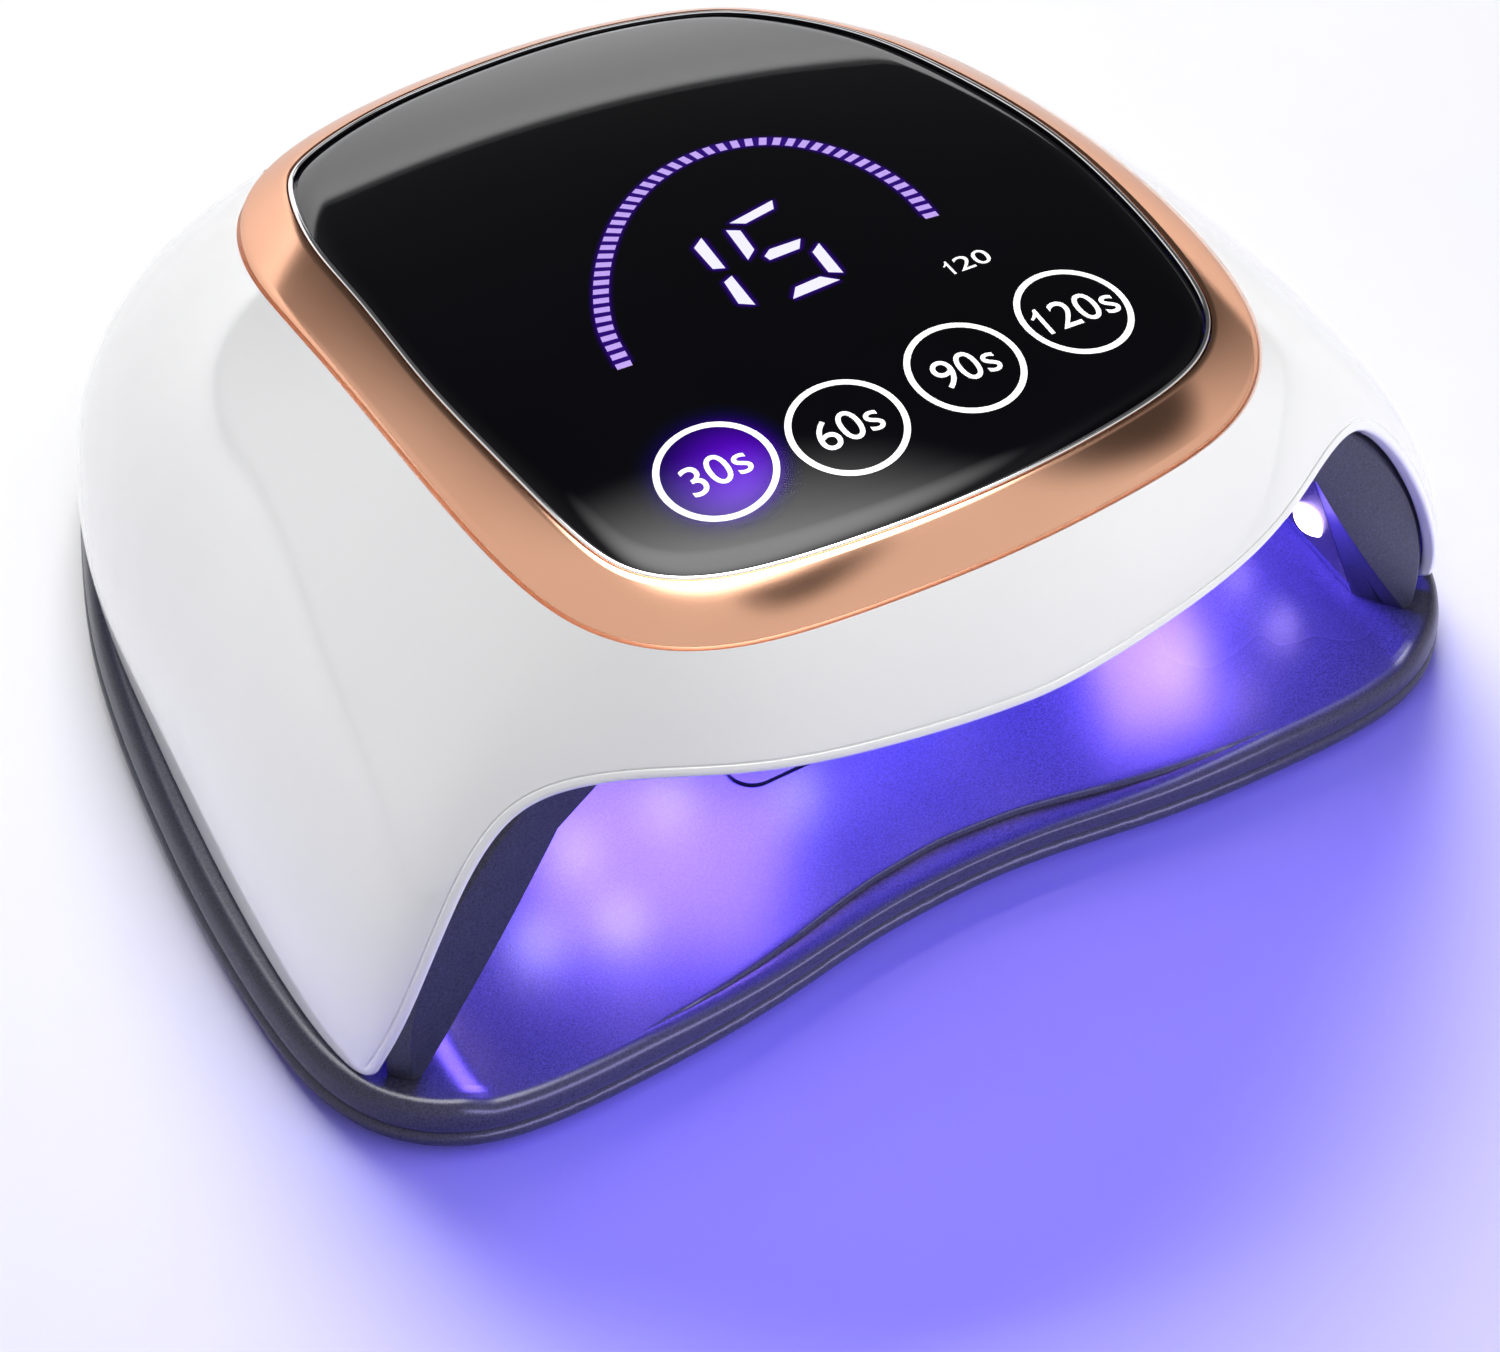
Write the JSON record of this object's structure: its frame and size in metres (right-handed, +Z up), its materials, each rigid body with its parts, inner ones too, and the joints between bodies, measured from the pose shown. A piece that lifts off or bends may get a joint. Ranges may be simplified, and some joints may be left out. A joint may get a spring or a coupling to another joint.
{
  "type": "uv curing lamp",
  "caption": "Domed UV curing lamp with a white shell, ringed touch panel, open front mouth, rear carry handle and a lift-off magnetic tray.",
  "frame": {"origin": "on the table, under the middle of the lamp's bounding box", "axes": "+Z up; the open mouth and the touch keys face -Y; +X is to the right of a person facing the mouth"},
  "size_m": [0.2252, 0.2049, 0.0983],
  "materials": {
    "satin_black": "satin",
    "slate_satin": "fine-textured satin",
    "white_gloss": "high gloss",
    "rose_gold": "polished, plated",
    "bright_trim": "polished",
    "black_glass": "gloss",
    "gloss_black": "gloss",
    "circuit_board": "solder mask",
    "steel": "plain",
    "rubber": "matt",
    "foam": "conductive foam",
    "navy_gloss": "gloss",
    "aluminium": "white-coated",
    "lens": "clear, violet lit"
  },
  "bodies": {
    "tray": {"tray_bottom": "satin_black", "tray_top": "satin_black", "tray_inlay": "satin_black", "tray_magnets": "steel", "rubber_feet": "rubber", "tray_screws": "steel"},
    "lamp_head": {"mouth_frame": "slate_satin", "lower_housing": "slate_satin", "head_magnets": "steel", "housing_screws": "steel", "top_cover": "white_gloss", "trim_ring": "rose_gold", "inner_bezel": "bright_trim", "glass_panel": "black_glass", "glass_frame": "gloss_black", "control_board": "circuit_board", "display_module": "gloss_black", "touch_pads": "foam", "reflector": "navy_gloss", "led_board_left": "aluminium", "led_board_right": "aluminium", "led_board_roof": "aluminium", "led_board_rear": "aluminium", "led_lenses_left": "lens", "led_lenses_right": "lens", "led_lenses_roof": "lens", "led_lenses_rear": "lens", "motion_sensor": "gloss_black", "driver_board": "circuit_board", "driver_parts": "satin_black", "dc_jack": "satin_black", "rear_cover": "gloss_black", "handle_pins": "steel"},
    "handle": {"carry_handle": "gloss_black"}
  },
  "joints": [
    {"name": "head_lift", "type": "slide", "parent": "tray", "child": "lamp_head", "axis": [0, 0, 1], "range_m": [0, 0.06]},
    {"name": "handle_fold", "type": "hinge", "parent": "lamp_head", "child": "handle", "pos_m": [0, 0.0934, 0.024], "axis": [-1, 0, 0], "range_deg": [0, 95]}
  ]
}
